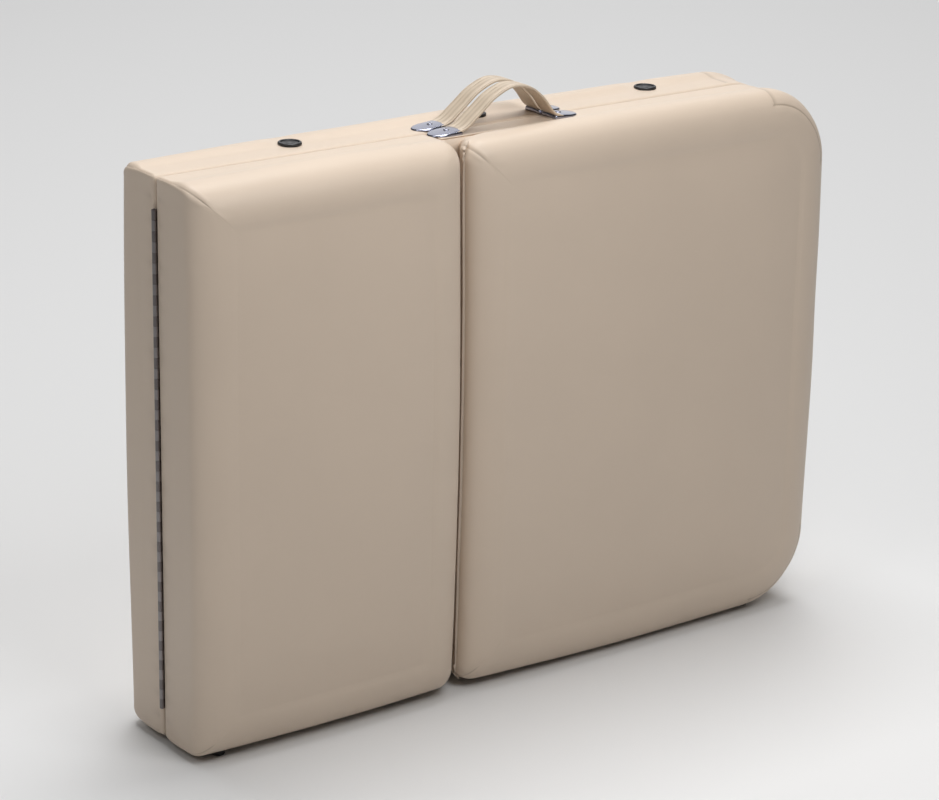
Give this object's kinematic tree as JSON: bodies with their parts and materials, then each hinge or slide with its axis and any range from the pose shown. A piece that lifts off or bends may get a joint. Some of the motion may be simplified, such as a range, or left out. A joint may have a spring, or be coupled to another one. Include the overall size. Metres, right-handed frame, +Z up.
{
  "type": "portable massage table",
  "caption": "Portable massage table in three sections with a tilting backrest, folded into a padded vinyl case with strap handles, piano hinge and folding legs.",
  "frame": {"origin": "on the floor under the middle of the folded case's outline, at the bottom of its rubber case feet", "axes": "+X from the piano hinge to the far end, +Y from the head half to the foot half, +Z up"},
  "size_m": [0.969, 0.196, 0.764],
  "materials": {
    "vinyl": "soft satin beige vinyl with a fine grain",
    "strap_vinyl": "satin vinyl, stitched into ribs",
    "plywood": "sanded birch plywood",
    "beech": "clear satin lacquer",
    "chrome": "polished",
    "hinge_steel": "dark nickel plate",
    "leg_steel": "silver powder coat",
    "zinc_steel": "zinc plate",
    "rubber": "matte",
    "black_plastic": "satin moulded"
  },
  "bodies": {
    "head_half": {"backrest_hinge_bolts": "zinc_steel", "backrest_hinge_cheeks": "zinc_steel", "backrest_racks": "beech", "catch_plates": "zinc_steel", "head_corner_blocks": "beech", "head_cover_band": "vinyl", "head_end_rails": "beech", "head_handle_caps": "chrome", "head_handle_screws": "chrome", "head_handle_strap": "strap_vinyl", "head_leg_bolts": "zinc_steel", "head_leg_brackets": "zinc_steel", "head_leg_rail": "beech", "head_side_rails": "beech", "head_stay_posts": "zinc_steel", "hinge_leaf_head": "hinge_steel", "hinge_pin": "hinge_steel", "seat_board": "plywood", "seat_case_foot": "rubber", "seat_cushion": "vinyl", "seat_spine": "beech"},
    "foot_half": {"catch_studs": "zinc_steel", "foot_board": "plywood", "foot_case_feet": "rubber", "foot_corner_blocks": "beech", "foot_cover_band": "vinyl", "foot_cushion": "vinyl", "foot_end_rails": "beech", "foot_handle_caps": "chrome", "foot_handle_screws": "chrome", "foot_handle_strap": "strap_vinyl", "foot_leg_bolts": "zinc_steel", "foot_leg_brackets": "zinc_steel", "foot_leg_rail": "beech", "foot_side_rails": "beech", "foot_stay_posts": "zinc_steel", "hinge_leaf_foot": "hinge_steel", "vent_discs": "black_plastic"},
    "head_legs": {"head_leg_crossbar": "leg_steel", "head_leg_stay_pins": "zinc_steel", "head_leg_tips": "rubber", "head_leg_tubes": "leg_steel"},
    "foot_legs": {"foot_leg_crossbar": "leg_steel", "foot_leg_stay_pins": "zinc_steel", "foot_leg_tips": "rubber", "foot_leg_tubes": "leg_steel"},
    "head_rail_stay": {"head_rail_stays": "zinc_steel"},
    "head_leg_stay": {"head_leg_stays": "zinc_steel"},
    "foot_rail_stay": {"foot_rail_stays": "zinc_steel"},
    "foot_leg_stay": {"foot_leg_stays": "zinc_steel"},
    "backrest": {"backrest_board": "plywood", "backrest_case_foot": "rubber", "backrest_cushion": "vinyl", "backrest_hinge_arms": "zinc_steel", "backrest_stay_lugs": "zinc_steel"},
    "backrest_stay": {"backrest_stay_arms": "zinc_steel", "backrest_stay_rod": "zinc_steel"},
    "upper_hook": {"catch_hook_upper": "zinc_steel"},
    "lower_hook": {"catch_hook_lower": "zinc_steel"}
  },
  "joints": [
    {"name": "main_fold", "type": "hinge", "parent": "head_half", "child": "foot_half", "pos_m": [-0.48145, 0, 0.36], "axis": [0, 0, 1], "range_deg": [0, 180]},
    {"name": "head_legs_fold", "type": "hinge", "parent": "head_half", "child": "head_legs", "pos_m": [0.39855, -0.015, 0.36], "axis": [0, 0, -1], "range_deg": [0, 90]},
    {"name": "foot_legs_fold", "type": "hinge", "parent": "foot_half", "child": "foot_legs", "pos_m": [0.39855, 0.015, 0.36], "axis": [0, 0, 1], "range_deg": [0, 90]},
    {"name": "head_rail_stay_turn", "type": "hinge", "parent": "head_half", "child": "head_rail_stay", "pos_m": [0.04855, -0.015, 0.36], "axis": [0, 0, 1], "range_deg": [0, 45]},
    {"name": "head_leg_stay_turn", "type": "hinge", "parent": "head_legs", "child": "head_leg_stay", "pos_m": [0.04855, -0.015, 0.36], "axis": [0, 0, -1], "range_deg": [0, 45]},
    {"name": "foot_rail_stay_turn", "type": "hinge", "parent": "foot_half", "child": "foot_rail_stay", "pos_m": [0.04855, 0.015, 0.36], "axis": [0, 0, -1], "range_deg": [0, 45]},
    {"name": "foot_leg_stay_turn", "type": "hinge", "parent": "foot_legs", "child": "foot_leg_stay", "pos_m": [0.04855, 0.015, 0.36], "axis": [0, 0, 1], "range_deg": [0, 45]},
    {"name": "backrest_tilt", "type": "hinge", "parent": "head_half", "child": "backrest", "pos_m": [-0.06215, -0.0667, 0.36], "axis": [0, 0, -1], "range_deg": [0, 70]},
    {"name": "backrest_stay_turn", "type": "hinge", "parent": "backrest", "child": "backrest_stay", "pos_m": [0.13785, -0.03, 0.36], "axis": [0, 0, 1], "range_deg": [0, 130]},
    {"name": "upper_hook_turn", "type": "hinge", "parent": "head_half", "child": "upper_hook", "pos_m": [0.47965, -0.018, 0.51], "axis": [1, 0, 0], "range_deg": [0, 90]},
    {"name": "lower_hook_turn", "type": "hinge", "parent": "head_half", "child": "lower_hook", "pos_m": [0.47965, -0.018, 0.21], "axis": [1, 0, 0], "range_deg": [0, 90]}
  ],
  "couplings": [
    {"joint": "head_legs_fold", "follows": "main_fold", "ratio": 0.5},
    {"joint": "foot_legs_fold", "follows": "main_fold", "ratio": 0.5},
    {"joint": "head_rail_stay_turn", "follows": "main_fold", "ratio": 0.25},
    {"joint": "head_leg_stay_turn", "follows": "main_fold", "ratio": 0.25},
    {"joint": "foot_rail_stay_turn", "follows": "main_fold", "ratio": 0.25},
    {"joint": "foot_leg_stay_turn", "follows": "main_fold", "ratio": 0.25},
    {"joint": "backrest_stay_turn", "follows": "backrest_tilt", "ratio": 1.855}
  ]
}
